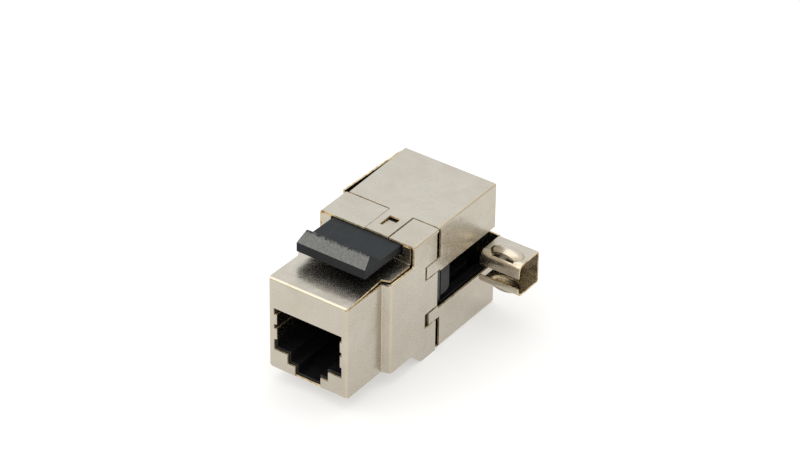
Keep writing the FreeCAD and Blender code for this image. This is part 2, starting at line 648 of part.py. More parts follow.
def armChannel():
    body = newBody("armChannel")
    rear = "coverRear - gauge"
    slab(body, "armProfile", "x",
         [("coverRear", "armLow"), ("coverRear", armHigh), (upperLip, armHigh),
          (upperLip, f"{armHigh} - upperLipTall"),
          (f"{upperLip} + gauge", f"{armHigh} - upperLipTall"),
          (f"{upperLip} + gauge", f"{armHigh} - gauge"),
          (rear, f"{armHigh} - gauge"), (rear, "armLow + gauge"),
          (f"{lowerLip} + gauge", "armLow + gauge"),
          (f"{lowerLip} + gauge", "armLow + lowerLipTall"), (lowerLip, "armLow + lowerLipTall"),
          (lowerLip, "armLow")],
         wingStart, armEnd)
    roundOff(body, "armFolds", "x", [("coverRear", "armLow"), ("coverRear", armHigh)], "bendOut")
    roundOff(body, "armFoldsInside", "x", [(rear, "armLow + gauge"), (rear, f"{armHigh} - gauge")],
             "bendOut - gauge")
    roundOff(body, "upperLipOutside", "x", [(upperLip, armHigh)], "upperLipBend")
    roundOff(body, "upperLipInside", "x", [(f"{upperLip} + gauge", f"{armHigh} - gauge")],
             "upperLipBend - gauge")
    roundOff(body, "lowerLipOutside", "x", [(lowerLip, "armLow")], "lowerLipBend")
    roundOff(body, "lowerLipInside", "x", [(f"{lowerLip} + gauge", "armLow + gauge")],
             "lowerLipBend - gauge")
    return body


def dome(name, height, inset):
    """Squashed ball of a hood, or its hollow."""
    ball = doc.addObject("Part::Ellipsoid", name)
    bind(ball, "Radius1", f"hoodRise + gauge - {inset}")
    bind(ball, "Radius2", f"hoodHalf - {inset}")
    bind(ball, "Radius3", f"hoodDeep - {inset}")
    for axis, text in (("x", hoodX), ("y", hoodMiddle), ("z", height)):
        bind(ball, f"Placement.Base.{axis}", text)
    return ball


def hoodRoom(name, middle):
    """Room under a hood, cut through the sheet behind the mouth."""
    behind = block(f"{name}Behind", (f"{hoodX} - hoodHalf", f"{hoodX} + hoodHalf"),
                   (hoodY, f"{hoodMiddle} + hoodDeep"),
                   (f"{middle} - hoodRise - gauge", f"{middle} + hoodRise + gauge"))
    return combine("Common", name, dome(f"{name}Ball", middle, "gauge"), behind)


def hood(name, middle, low, high):
    """Half dome behind its slit."""
    shell = combine("Cut", f"{name}Shell", dome(f"{name}Ball", middle, "0"),
                    dome(f"{name}Hollow", middle, "gauge"))
    half = block(f"{name}Half", (f"{hoodX} - hoodHalf", f"{hoodX} + hoodHalf"),
                 (hoodY, f"{hoodMiddle} + hoodDeep"),
                 (low, high))
    return combine("Common", name, shell, half)


def rearCover():
    wall = (f"{coverHalf} - gauge", coverHalf)
    back = ("coverRear - gauge", "coverRear")
    bands = join("coverBands", [
        coverSkin(), *leftWall(), armChannel(),
        block("tongue", (tongueLeft, tongueRight), (f"{lidFront} + tongueSet", f"{coverFront} + past"),
              ("midTop - gauge", "midTop")),
        block("hookUpper", wall, (f"{coverFront} - hookLongUpper", f"{coverFront} + past"), hookUpper),
        block("hookLower", wall, (f"{coverFront} - hookLongLower", coverFront), hookLower),
        block("hookLowerRoot", wall, (f"{coverFront} - seam", f"{coverFront} + past"),
              (hookLower[0], "slotLow")),
        block("armRoot", (f"{coverHalf} - past", f"{wingStart} + seam"), back, ("armLow", armHigh))])
    relief = (f"{coverHalf} - reliefWide", f"{coverHalf} + past")
    slit = ((f"{hoodX} - slitHalf", f"{hoodX} + slitHalf"), (f"{hoodY} - slitLong", f"{hoodY} + seam"))
    cuts = join("coverCuts", [
        block("tongueWindow", ("tongueX - 0.5 * windowWide", "tongueX + 0.5 * windowWide"),
              (f"{catchFront} - windowSlack", f"{catchRear} + windowSlack"),
              ("midTop - past", "midTop + past")),
        block("reliefAbove", relief, ("coverRear - past", "coverRear + past"), (armHigh, "slotHigh")),
        block("reliefBelow", relief, ("coverRear - gauge - seam", "coverRear + past"),
              ("armLow - reliefWide", "armLow")),
        block("slitUpper", *slit, (f"{armHigh} - past", f"{armHigh} + play")),
        block("slitLower", *slit, ("armLow - play", "armLow + past")),
        hoodRoom("hoodRoomUpper", f"{armHigh} - gauge"),
        hoodRoom("hoodRoomLower", "armLow + gauge")])
    return join("rearCover", [
        combine("Cut", "coverSheet", bands, cuts),
        hood("hoodUpper", f"{armHigh} - gauge", f"{armHigh} - gauge", f"{armHigh} + hoodRise"),
        hood("hoodLower", "armLow + gauge", "armLow - hoodRise", "armLow + gauge")])


def latch():
    body = newBody("latchBody")
    top = f"{latchZ} + 0.5 * latchThick"
    under = f"{latchZ} - 0.5 * latchThick"
    slab(body, "latchProfile", "x",
         [(tipFront, tipLow), (tipFront, f"{tipLow} + tipTall"), (ridgeY, ridgeZ),
          (f"{ridgeY} + crestFlat", f"{ridgeZ} - crestDrop"),
          (f"{ridgeY} + crestFlat + crestFoot", f"{latchZ} + plateRise"), (latchY, top), (hingeRear, top),
          (hingeRear, under), (latchY, under)],
         "-latchHalf", "latchHalf")
    roundOff(body, "latchKnuckle", "x", [(hingeRear, top), (hingeRear, under)], "0.499 * latchThick")
    low = f"{ridgeZ} - crestDrop - crestTrim"
    high = f"{ridgeZ} + play"
    for side, sign in (("Left", -1), ("Right", 1)):
        out = f"{sign} * (latchHalf + past)"
        slab(body, f"crestBevel{side}", "y",
             [(f"{sign} * (latchHalf - crestTrim)", high), (f"{sign} * latchHalf", low), (out, low),
              (out, high)],
             f"{tipFront} - past", f"{ridgeY} + crestFlat + crestFoot", cut=True)
    return body


def portHousing():
    body = newBody("housing")
    lift = "(play + seam)"
    inner = f"(gauge + {lift}) * {halfSlope}"
    slab(body, "housingProfile", "x",
         [("gauge + play", f"gauge + {lift}"), (f"bellyStart + {inner}", f"gauge + {lift}"),
          (f"{bellyEnd} + {inner}", f"gauge + {lift} - bellyDrop"),
          (boxRear, f"gauge + {lift} - bellyDrop"),
          (boxRear, f"{stripTop} - gauge - deckGap"),
          (f"{hingeRear} + play", f"{stripTop} - gauge - deckGap"),
          (f"{hingeRear} + play", cradleLow), (boxFront, cradleLow), (boxFront, boxTop),
          ("gauge + play", boxTop)],
         f"-{boxHalf}", boxHalf)
    neck = "(noseHalf - gauge - play)"
    for side, sign in (("Left", -1), ("Right", 1)):
        out = f"{sign} * ({boxHalf} + past)"
        slab(body, f"housingNeck{side}", "z",
             [(f"{sign} * {neck}", "-past"), (f"{sign} * {neck}", f"joggleStart + neckSet"),
              (f"{sign} * {boxHalf}", f"{joggleEnd} + neckSet + play"),
              (out, f"{joggleEnd} + neckSet + play"),
              (out, "-past")],
             "-bellyDrop - past", "midTop", cut=True)
        near, far = f"{sign} * (latchHalf + play)", f"{sign} * {boxHalf}"
        bodyBox(body, f"hingeCheek{side}", (near, far) if sign > 0 else (far, near),
                (boxFront, f"{hingeRear} + play"),
                (f"{cradleLow} - seam", "midTop - cheekTop"))
    slab(body, "plugCavity", "y", portShape("rim", "portTop - rim", "keyFloor"), "0", "cavityDeep",
         cut=True)
    bay = (f"-{carrierHalf} - seam", f"{carrierHalf} + seam")
    bodyBox(body, "carrierBay", bay, ("cavityDeep - past", f"{boxRear} + past"),
            (f"{carrierLow} - seam", f"{ribHigh} + seam"), cut=True)
    bodyBox(body, "wireChannel", bay, (f"bendY - {bendR} - wireWide - play", "cavityDeep"),
            ("portTop - rim - play", f"{ribHigh} + seam"), cut=True)
    for side, sign in (("Left", -1), ("Right", 1)):
        near, far = f"{sign} * (portHalf - rim - play)", f"{sign} * (portHalf - tabFold + gauge + play)"
        for level, (low, high) in (("Upper", tabUpper), ("Lower", tabLower)):
            bodyBox(body, f"tabPocket{level}{side}", (near, far) if sign > 0 else (far, near),
                    ("0", "tabDeep + 2 * play"), (f"{low} - play", f"{high} + play"), cut=True)
    return body


def contactCarrier():
    body = newBody("carrier")
    across = (f"-{carrierHalf}", carrierHalf)
    bodyBox(body, "carrierBlock", across, (carrierFront, f"{boxRear} - play"), (carrierLow, ribHigh))
    slab(body, "carrierShelf", "x",
         [(shelfFront, shelfLow), (shelfFront, shelfHigh), (f"{carrierFront} + past", shelfHigh),
          (f"{carrierFront} + past", shelfLow)], *across)
    roundOff(body, "shelfNose", "x", [(shelfFront, shelfLow), (shelfFront, shelfHigh)],
             "0.499 * shelfThick")
    bodyBox(body, "shelfRibs", across, ("bendY + ribStart", f"{carrierFront} + seam"),
            (f"{shelfHigh} - seam", ribHigh))
    first = ("-3.5 * wirePitch - 0.5 * combWide", "-3.5 * wirePitch + 0.5 * combWide")
    groove = bodyBox(body, "wireGroove", first, ("bendY", f"{boxRear} + past"),
                     (shelfHigh, f"{ribHigh} + past"),
                     cut=True)
    repeat(body, "wireGrooves", groove, "7 * wirePitch", 8)
    comb = bodyBox(body, "combSlot", first, (f"{carrierFront} - past", f"{carrierFront} + combDeep"),
                   (f"{carrierLow} + combFoot", shelfLow), cut=True)
    repeat(body, "combSlots", comb, "7 * wirePitch", 8)
    return body


def contactSpring(number):
    """Round wire: straight run, bend round the front of the shelf, free end down to its comb slot."""
    body = newBody(f"spring{number}")
    path = body.newObject("Sketcher::SketchObject", f"springPath{number}")
    path.AttachmentSupport = [(originPlane(body, "YZ_Plane"), "")]
    path.MapMode = "FlatFace"
    turn = radians(measure("bendTurn"))
    radius = measure(bendR)
    middle = FreeCAD.Vector(measure("bendY"), measure(wireTop) - radius, 0)
    release = middle + FreeCAD.Vector(-radius * sin(turn), radius * cos(turn), 0)
    reach = (measure(f"{carrierFront} + tipIn") - release.x) / -cos(turn)
    path.addGeometry(Part.LineSegment(FreeCAD.Vector(measure(boardRear), measure(wireTop), 0),
                                      middle + FreeCAD.Vector(0, radius, 0)))
    path.addGeometry(Part.ArcOfCircle(Part.Circle(middle, FreeCAD.Vector(0, 0, 1), radius), 0.5 * pi,
                                      0.5 * pi + turn))
    path.addGeometry(Part.LineSegment(release, release + FreeCAD.Vector(-reach * cos(turn),
                                                                        -reach * sin(turn), 0)))
    for kind, where, text in (("Horizontal", (0,), None),
                              ("Tangent", (0, 2, 1, 1), None),
                              ("Tangent", (1, 2, 2, 1), None),
                              ("DistanceX", (-1, 1, 0, 1), boardRear),
                              ("DistanceY", (-1, 1, 0, 1), wireTop),
                              ("DistanceX", (-1, 1, 1, 3), "bendY"),
                              ("DistanceX", (-1, 1, 2, 2), f"{carrierFront} + tipIn"),
                              ("Radius", (1,), bendR)):
        if text is None:
            path.addConstraint(Sketcher.Constraint(kind, *where))
        else:
            index = path.addConstraint(Sketcher.Constraint(kind, *where, measure(text)))
            path.renameConstraint(index, f"tie{index}")
            bind(path, f"Constraints.tie{index}", text)
    index = path.addConstraint(Sketcher.Constraint("Angle", 2, turn - pi))
    path.renameConstraint(index, "lean")
    bind(path, "Constraints.lean", "(bendTurn - 180) * 1 deg")
    section = ringSketch(body, f"springSection{number}", "0", wireTop, f"-{boardRear}", "wireWide")
    pipe = body.newObject("PartDesign::AdditivePipe", f"springWire{number}")
    pipe.Profile = section
    pipe.Spine = (path, ["Edge1", "Edge2", "Edge3"])
    return body


def ringSketch(body, name, x, z, level, diameter):
    """A circle in a plane square to y."""
    sketch = body.newObject("Sketcher::SketchObject", name)
    sketch.AttachmentSupport = [(originPlane(body, "XZ_Plane"), "")]
    sketch.MapMode = "FlatFace"
    for axis, text in (("x", x), ("y", z), ("z", level)):
        bind(sketch, f"AttachmentOffset.Base.{axis}", text)
    sketch.addGeometry(Part.Circle(FreeCAD.Vector(0, 0, 0), FreeCAD.Vector(0, 0, 1),
                                   0.5 * measure(diameter)))
    sketch.addConstraint(Sketcher.Constraint("Coincident", 0, 3, -1, 1))
    index = sketch.addConstraint(Sketcher.Constraint("Diameter", 0, measure(diameter)))
    sketch.renameConstraint(index, "bore")
    bind(sketch, "Constraints.bore", diameter)
    return sketch


def circuitBoard():
    body = newBody("board")
    bodyBox(body, "boardPlate", (f"-{boardHalf}", boardHalf), (boardFront, boardRear),
            ("gauge - bellyDrop + boardFoot", f"{stripTop} - gauge - boardHead"))
    for name, x, z, diameter, length, count in (
            ("wireBore", "-3.5 * wirePitch", wireTop, "wireHole", "7 * wirePitch", 8),
            ("upperTailBore", "-1.5 * gulletPitch", upperMiddle, "tailHole", "3 * gulletPitch", 4),
            ("lowerTailBore", "-1.5 * gulletPitch", lowerMiddle, "tailHole", "3 * gulletPitch", 4)):
        circle = ringSketch(body, f"{name}Circle", x, z, f"-{boardRear} - past", diameter)
        bore = body.newObject("PartDesign::Pocket", name)
        bore.Profile = circle
        bind(bore, "Length", "boardThick + 2 * past")
        bore.Reversed = True
        repeat(body, f"{name}s", bore, length, count)
    return body


def terminalBlock(name, low, high, baseLow, middle):
    """Base plate, towers with four wire slots, and slanted pockets for the terminals."""
    body = newBody(name)
    across = (f"-{blockHalf}", blockHalf)
    bodyBox(body, f"{name}Base", across, (blockFront, towerFront), (baseLow, high))
    if baseLow != low:
        roundOff(body, f"{name}Corner", "x", [(towerFront, baseLow)], "plugRound")
    bodyBox(body, f"{name}Towers", across, (f"{towerFront} - seam", towerRear), (low, high))
    first = "-1.5 * gulletPitch"
    mouth = f"{towerRear} - gulletFlare"
    floor = f"{towerRear} - gulletDeep"
    gullet = slab(body, f"{name}Gullet", "z",
                  [(f"{first} - 0.5 * gullet", floor), (f"{first} - 0.5 * gullet", mouth),
                   (f"{first} - 0.5 * gulletMouth", f"{towerRear} + seam"),
                   (f"{first} + 0.5 * gulletMouth", f"{towerRear} + seam"),
                   (f"{first} + 0.5 * gullet", mouth),
                   (f"{first} + 0.5 * gullet", floor)],
                  f"{low} - past", f"{high} + past", cut=True)
    repeat(body, f"{name}Gullets", gullet, "3 * gulletPitch", 4)
    half = "sqrt(0.5) * (0.5 * bladeWide + bladeSlack)"
    thin = "sqrt(0.5) * (0.5 * bladeThick + bladeSlack)"
    pocket = slab(body, f"{name}Pocket", "y",
                  [(f"{first} + {half} + {thin}", f"{middle} - {half} + {thin}"),
                   (f"{first} + {half} - {thin}", f"{middle} - {half} - {thin}"),
                   (f"{first} - {half} - {thin}", f"{middle} + {half} - {thin}"),
                   (f"{first} - {half} + {thin}", f"{middle} + {half} + {thin}")],
                  f"{bladeFront} - bladeSlack", f"{bladeRear} + bladeSlack", cut=True)
    repeat(body, f"{name}Pockets", pocket, "3 * gulletPitch", 4)
    bore = bodyBox(body, f"{name}TailBore", (f"{first} - 0.5 * tailHole", f"{first} + 0.5 * tailHole"),
                   (f"{blockFront} - past", bladeFront),
                   (f"{middle} - 0.5 * tailHole", f"{middle} + 0.5 * tailHole"), cut=True)
    repeat(body, f"{name}TailBores", bore, "3 * gulletPitch", 4)
    return body


def terminal(number):
    """Forked blade with a tail."""
    body = newBody(f"terminal{number}")
    thick = ("-0.5 * bladeThick", "0.5 * bladeThick")
    bodyBox(body, f"blade{number}", ("-0.5 * bladeWide", "0.5 * bladeWide"), (bladeFront, bladeRear),
            thick)
    bodyBox(body, f"tail{number}", ("-0.5 * tailWide", "0.5 * tailWide"),
            (f"{boardFront} - tailOut", bladeFront), thick)
    slab(body, f"fork{number}", "z",
         [("-0.5 * forkSlit", f"{bladeRear} - forkDeep"), ("-0.5 * forkSlit", f"{bladeRear} - forkFlare"),
          ("-0.5 * forkMouth", f"{bladeRear} + seam"), ("0.5 * forkMouth", f"{bladeRear} + seam"),
          ("0.5 * forkSlit", f"{bladeRear} - forkFlare"), ("0.5 * forkSlit", f"{bladeRear} - forkDeep")],
         "-bladeThick", "bladeThick", cut=True)
    return body


finish(frontShell(), "front_shell")
finish(rearCover(), "rear_cover")
finish(latch(), "latch")
finish(portHousing(), "port_housing")
finish(contactCarrier(), "contact_carrier")
for number in range(1, 9):
    finish(contactSpring(number), f"contact_spring_{number}", x=f"({number} - 4.5) * wirePitch")
finish(circuitBoard(), "circuit_board")
finish(terminalBlock("upperBlock", f"({upperHigh} - upperTall)", upperHigh, f"({upperHigh} - upperBase)",
                     upperMiddle),
       "idc_block_upper")
finish(terminalBlock("lowerBlock", lowerLow, f"({lowerLow} + lowerTall)", lowerLow, lowerMiddle),
       "idc_block_lower")
for number in range(1, 9):
    piece = terminal(number)
    piece.Placement = FreeCAD.Placement(FreeCAD.Vector(), FreeCAD.Rotation(FreeCAD.Vector(0, 1, 0), 45))
    finish(piece, f"idc_contact_{number}", x=f"({(number - 1) % 4} - 1.5) * gulletPitch",
           z=upperMiddle if number < 5 else lowerMiddle)

doc.recompute()
for item in doc.Objects:
    if {"Invalid", "Error"} & set(item.State):
        raise RuntimeError(f"{item.Name} did not build")
for label, item in finished:
    if item.Shape.isNull() or not item.Shape.isValid() or len(item.Shape.Solids) != 1:
        raise RuntimeError(f"{label} is not one sound solid")
os.makedirs("parts", exist_ok=True)
for label, item in finished:
    item.Shape.exportStep(f"parts/{label}.step")
    print(label, round(item.Shape.Volume, 2))
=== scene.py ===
import bpy
import bmesh
import math
from mathutils import Matrix, Vector
from mathutils.bvhtree import BVHTree


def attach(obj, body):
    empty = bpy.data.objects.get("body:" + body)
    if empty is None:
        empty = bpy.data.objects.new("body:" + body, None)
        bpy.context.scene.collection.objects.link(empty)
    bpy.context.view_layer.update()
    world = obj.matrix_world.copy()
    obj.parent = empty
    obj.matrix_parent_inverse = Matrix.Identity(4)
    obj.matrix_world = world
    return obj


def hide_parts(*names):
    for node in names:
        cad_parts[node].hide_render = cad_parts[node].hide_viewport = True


mm = 0.001

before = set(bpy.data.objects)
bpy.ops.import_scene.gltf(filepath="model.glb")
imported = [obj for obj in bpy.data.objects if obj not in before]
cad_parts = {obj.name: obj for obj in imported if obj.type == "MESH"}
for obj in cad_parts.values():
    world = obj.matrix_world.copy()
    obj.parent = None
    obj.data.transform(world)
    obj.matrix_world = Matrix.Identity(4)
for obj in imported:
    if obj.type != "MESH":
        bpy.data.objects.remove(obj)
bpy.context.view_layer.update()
bpy.context.scene.view_settings.view_transform = "Standard"
print("frame loaded,", len(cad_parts), "nodes")


# small helpers for building node materials, so that each finish below stays short

nodeGrid = {"across": 240, "down": 320, "perRow": 8}    # how the nodes are laid out in the editor


def newMaterial(name):
    mat = bpy.data.materials.new(name)
    mat.use_nodes = True
    mat.node_tree.nodes.clear()
    return mat, mat.node_tree


def addNode(tree, kind, **values):
    row, column = divmod(len(tree.nodes), nodeGrid["perRow"])
    node = tree.nodes.new(kind)
    node.location = (nodeGrid["across"] * column, -nodeGrid["down"] * row)
    for key, value in values.items():
        setattr(node, key, value)
    return node


def plug(tree, source, socket):
    # the source is a colour, a plain number or what another node puts out
    if isinstance(source, tuple):
        socket.default_value = (*source, 1)
    elif isinstance(source, (int, float)):
        socket.default_value = source
    else:
        tree.links.new(source, socket)


def millimetreCoords(tree, stretch=(1, 1, 1)):
    coord = addNode(tree, "ShaderNodeTexCoord")
    mapping = addNode(tree, "ShaderNodeMapping")
    mapping.inputs["Scale"].default_value = [part / mm for part in stretch]
    plug(tree, coord.outputs["Object"], mapping.inputs["Vector"])
    return mapping.outputs["Vector"]


def noise(tree, coords, scale, detail=2.0, rough=0.5, warp=0.0):
    node = addNode(tree, "ShaderNodeTexNoise")
    node.inputs["Scale"].default_value = scale
    node.inputs["Detail"].default_value = detail
    node.inputs["Roughness"].default_value = rough
    node.inputs["Distortion"].default_value = warp
    plug(tree, coords, node.inputs["Vector"])
    return node.outputs["Fac"]


def drawnNoise(tree, stretch, detail=2.0, rough=0.5, warp=0.0):
    # noise with its own fineness along x, y and z
    return noise(tree, millimetreCoords(tree, stretch), 1.0, detail, rough, warp)


def ramp(tree, source, *stops):
    node = addNode(tree, "ShaderNodeValToRGB")
    marks = node.color_ramp.elements
    while len(marks) < len(stops):
        marks.new(0.5)
    for mark, (place, colour) in zip(marks, stops):
        mark.position = place
        mark.color = (*colour, 1)
    plug(tree, source, node.inputs["Fac"])
    return node.outputs["Color"]


def remap(tree, source, low, high, toLow, toHigh):
    node = addNode(tree, "ShaderNodeMapRange")
    for key, value in (("From Min", low), ("From Max", high), ("To Min", toLow), ("To Max", toHigh)):
        node.inputs[key].default_value = value
    plug(tree, source, node.inputs["Value"])
    return node.outputs["Result"]


def maths(tree, kind, first, second=0.0):
    node = addNode(tree, "ShaderNodeMath", operation=kind)
    plug(tree, first, node.inputs[0])
    plug(tree, second, node.inputs[1])
    return node.outputs["Value"]


def mean(tree, first, second):
    return maths(tree, "MULTIPLY", maths(tree, "ADD", first, second), 0.5)


def middleBand(tree, source, full, none):
    # 1 where the source is within full of a half, 0 where it is farther off than none
    off = maths(tree, "ABSOLUTE", maths(tree, "SUBTRACT", source, 0.5))
    return remap(tree, off, full, none, 1.0, 0.0)


def blendColours(tree, share, first, second, kind="MIX"):
    node = addNode(tree, "ShaderNodeMix", data_type="RGBA", blend_type=kind)
    for key, value in (("Factor", share), ("A", first), ("B", second)):
        plug(tree, value, node.inputs[key])
    return node.outputs["Result"]


def bump(tree, height, strength, distance, normal=None):
    node = addNode(tree, "ShaderNodeBump")
    node.inputs["Strength"].default_value = strength
    node.inputs["Distance"].default_value = distance * mm
    plug(tree, height, node.inputs["Height"])
    if normal is not None:
        plug(tree, normal, node.inputs["Normal"])
    return node.outputs["Normal"]


def faceShare(tree, name):
    return addNode(tree, "ShaderNodeAttribute", attribute_name=name).outputs["Fac"]


def seenBy(tree, *rays):
    # 1 for these kinds of ray and 0 for the others
    path = addNode(tree, "ShaderNodeLightPath")
    seen = path.outputs[rays[0]]
    for ray in rays[1:]:
        seen = maths(tree, "MAXIMUM", seen, path.outputs[ray])
    return seen


def finishShader(tree, colour, roughness, normal, metallic=0.0, gloss=0.5):
    shader = addNode(tree, "ShaderNodeBsdfPrincipled")
    out = addNode(tree, "ShaderNodeOutputMaterial")
    for key, value in (("Base Color", colour), ("Roughness", roughness), ("Normal", normal),
                       ("Metallic", metallic), ("Specular IOR Level", gloss)):
        plug(tree, value, shader.inputs[key])
    plug(tree, shader.outputs["BSDF"], out.inputs["Surface"])


# camera

viewFrom = {
    "place": (258.06, -373.025, 321.52),     # mm, same axes as the part
    "turn": 35.09,                           # degrees left of straight at the port
    "tilt": 34.05,                           # degrees down
    "roll": -0.78,
    "lens": 160.4,                           # mm
    "sensor": 36.0,
    "nearest": 0.01,                         # m
    "farthest": 20,
}


def setCamera():
    turn, tilt, roll = (math.radians(viewFrom[key]) for key in ("turn", "tilt", "roll"))
    ahead = Vector((-math.sin(turn) * math.cos(tilt), math.cos(turn) * math.cos(tilt), -math.sin(tilt)))
    right = Vector((math.cos(turn), math.sin(turn), 0))
    down = ahead.cross(right)
    across = math.cos(roll) * right + math.sin(roll) * down
    up = math.sin(roll) * right - math.cos(roll) * down
    aim = Matrix((across, up, -ahead)).transposed().to_4x4()
    camera = bpy.data.objects.new("camera", bpy.data.cameras.new("camera"))
    camera.matrix_world = Matrix.Translation(Vector(viewFrom["place"]) * mm) @ aim
    camera.data.lens = viewFrom["lens"]
    camera.data.sensor_width = viewFrom["sensor"]
    camera.data.clip_start = viewFrom["nearest"]
    camera.data.clip_end = viewFrom["farthest"]
    bpy.context.scene.collection.objects.link(camera)
    bpy.context.scene.camera = camera


setCamera()
print("camera set")


# floor, surround and lamps

studio = {
    "floorSize": 4.0,                  # m
    "floorColour": (0.53, 0.518, 0.498),
    "floorGrain": 0.01,                # how much paler the pale spots of the floor are
    "floorLift": 0.44,                 # extra light of the floor itself, so that it reads as white
    "surround": 1.09,                  # light level of the surround
    "overhead": (0.96, 0.985, 1.01),
    "horizonLeft": (0.62, 0.60, 0.57),
    "horizonRight": (0.50, 0.42, 0.31),
    "darkBelowLeft": 0.30,             # the surround darkens below these heights
    "darkBelowRight": 0.55,
    "leftToRight": (-0.2, 0.3),        # where the left colours start and stop giving way to the right
    "lampsFace": (0, 0, 0.01),         # m, the point that both lamps face
}

lamps = {
    "softBoxTop": {
        "place": (-0.10, 0.05, 0.55),  # m
        "width": 0.6,
        "power": 0.9,                  # W
        "colour": (1.0, 0.99, 0.98),
    },
    "softBoxFront": {
        "place": (-0.35, -0.42, 0.50),
        "width": 0.3,
        "power": 0.55,
        "colour": (1.0, 0.99, 0.97),
    },
}


def lightSurround():
    world = bpy.data.worlds.new("surround")
    bpy.context.scene.world = world
    world.use_nodes = True
    tree = world.node_tree
    tree.nodes.clear()
    coord = addNode(tree, "ShaderNodeTexCoord")
    split = addNode(tree, "ShaderNodeSeparateXYZ")
    plug(tree, coord.outputs["Generated"], split.inputs["Vector"])
    sides = []
    for side in ("Left", "Right"):
        level = remap(tree, split.outputs["Z"], 0.0, studio["darkBelow" + side], 0.0, 1.0)
        sides.append(ramp(tree, level, (0.0, studio["horizon" + side]), (1.0, studio["overhead"])))
    toRight = remap(tree, split.outputs["X"], *studio["leftToRight"], 0.0, 1.0)
    light = addNode(tree, "ShaderNodeBackground")
    plug(tree, blendColours(tree, toRight, *sides), light.inputs["Color"])
    plug(tree, studio["surround"], light.inputs["Strength"])
    white = addNode(tree, "ShaderNodeBackground")
    plug(tree, (1, 1, 1), white.inputs["Color"])
    mix = addNode(tree, "ShaderNodeMixShader")
    plug(tree, seenBy(tree, "Is Camera Ray", "Is Transmission Ray"), mix.inputs["Fac"])
    plug(tree, light.outputs["Background"], mix.inputs[1])
    plug(tree, white.outputs["Background"], mix.inputs[2])
    out = addNode(tree, "ShaderNodeOutputWorld")
    plug(tree, mix.outputs["Shader"], out.inputs["Surface"])


def layFloor():
    mesh = bpy.data.meshes.new("floor")
    half = studio["floorSize"] / 2
    corners = [(-half, -half, 0), (half, -half, 0), (half, half, 0), (-half, half, 0)]
    mesh.from_pydata(corners, [], [(0, 1, 2, 3)])
    floor = bpy.data.objects.new("floor", mesh)
    bpy.context.scene.collection.objects.link(floor)
    mat, tree = newMaterial("paleFloor")
    grain = noise(tree, millimetreCoords(tree), 0.02, detail=3)
    paler = tuple(part + studio["floorGrain"] for part in studio["floorColour"])
    matt = addNode(tree, "ShaderNodeBsdfDiffuse")
    plug(tree, ramp(tree, grain, (0.3, studio["floorColour"]), (0.7, paler)), matt.inputs["Color"])
    glow = addNode(tree, "ShaderNodeEmission")
    seen = seenBy(tree, "Is Camera Ray", "Is Glossy Ray", "Is Transmission Ray")
    plug(tree, maths(tree, "MULTIPLY", seen, studio["floorLift"]), glow.inputs["Strength"])
    both = addNode(tree, "ShaderNodeAddShader")
    plug(tree, matt.outputs["BSDF"], both.inputs[0])
    plug(tree, glow.outputs["Emission"], both.inputs[1])
    out = addNode(tree, "ShaderNodeOutputMaterial")
    plug(tree, both.outputs["Shader"], out.inputs["Surface"])
    mesh.materials.append(mat)


def hangLamp(name, look):
    data = bpy.data.lights.new(name, "AREA")
    data.shape = "RECTANGLE"
    data.size = look["width"]
    data.size_y = look["width"]
    data.energy = look["power"]
    data.color = look["colour"]
    lamp = bpy.data.objects.new(name, data)
    lamp.location = look["place"]
    aim = Vector(studio["lampsFace"]) - Vector(look["place"])
    lamp.rotation_euler = aim.to_track_quat("-Z", "Y").to_euler()
    lamp.visible_camera = False
    bpy.context.scene.collection.objects.link(lamp)


lightSurround()
layFloor()
for name, look in lamps.items():
    hangLamp(name, look)
print("floor and lamps set")


# helpers that turn a node's own mesh into a dressed piece

dressing = {
    "mergeWithin": 0.002,              # mm
    "flatAngle": 0.6,                  # degrees, faces that turn less than this are joined up
    "softAngle": 35,                   # degrees, edges sharper than this stay crisp
    "rayStart": 0.02,                  # mm off the face that the ray leaves
    "nothingThere": 1000.0,            # mm, the depth given where a ray meets nothing
}


def joinFlats(bm, **limits):
    bmesh.ops.dissolve_limit(bm, angle_limit=math.radians(dressing["flatAngle"]), verts=bm.verts,
                             edges=bm.edges, **limits)


def copyNode(nodeName):
    bm = bmesh.new()
    bm.from_mesh(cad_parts[nodeName].data)
    bmesh.ops.remove_doubles(bm, verts=bm.verts, dist=dressing["mergeWithin"] * mm)
    joinFlats(bm)
    bm.normal_update()
    return bm


def shadeSoftly(bm):
    crease = math.radians(dressing["softAngle"])
    for face in bm.faces:
        face.smooth = True
    for edge in bm.edges:
        edge.smooth = len(edge.link_faces) == 2 and edge.calc_face_angle() < crease


def reach(solid, face, direction):
    # how far the sheet's next surface lies from the middle of a face, in mm
    start = face.calc_center_median() + direction * dressing["rayStart"] * mm
    distance = solid.ray_cast(start, direction)[3]
    return dressing["nothingThere"] if distance is None else distance / mm


def placePiece(bm, pieceName, body, mats, nodeName):
    mesh = bpy.data.meshes.new(pieceName)
    for mat in mats:
        mesh.materials.append(mat)
    bm.to_mesh(mesh)
    bm.free()
    piece = bpy.data.objects.new(pieceName, mesh)
    bpy.context.scene.collection.objects.link(piece)
    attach(piece, body)
    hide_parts(nodeName)
    return piece


def roundEdges(piece, look):
    rounding = piece.modifiers.new("rounding", "BEVEL")
    rounding.width = look["edgeRound"] * mm
    rounding.segments = 2
    rounding.limit_method = "ANGLE"
    rounding.angle_limit = math.radians(look["roundAbove"])
    rounding.use_clamp_overlap = True
    rounding.miter_outer = "MITER_ARC"
    flats = piece.modifiers.new("flats", "WEIGHTED_NORMAL")
    flats.keep_sharp = True


def dressSolid(nodeName, pieceName, mat, look):
    bm = copyNode(nodeName)
    shadeSoftly(bm)
    piece = placePiece(bm, pieceName, "jack", (mat,), nodeName)
    roundEdges(piece, look)


# satin nickel sheet with its raw cut edges

